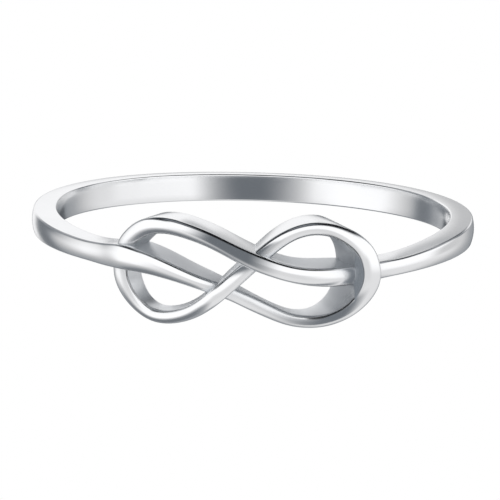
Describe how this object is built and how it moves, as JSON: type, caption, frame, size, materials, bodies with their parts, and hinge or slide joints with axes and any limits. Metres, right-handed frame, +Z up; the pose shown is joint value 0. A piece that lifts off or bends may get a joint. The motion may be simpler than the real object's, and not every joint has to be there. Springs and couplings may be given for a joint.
{
  "type": "infinity ring",
  "caption": "Finger ring with a plain polished band that tapers into an openwork infinity knot, lying on its side.",
  "frame": {"origin": "centre of the resting ring's box, at floor level", "axes": "+Z up from the floor, +Y from the knot towards the back of the band, +X to the right as the knot is seen from outside"},
  "size_m": [0.0194, 0.02, 0.0042],
  "materials": {
    "silver": "polished"
  },
  "bodies": {
    "root": {"infinity_ring": "silver"}
  },
  "joints": []
}
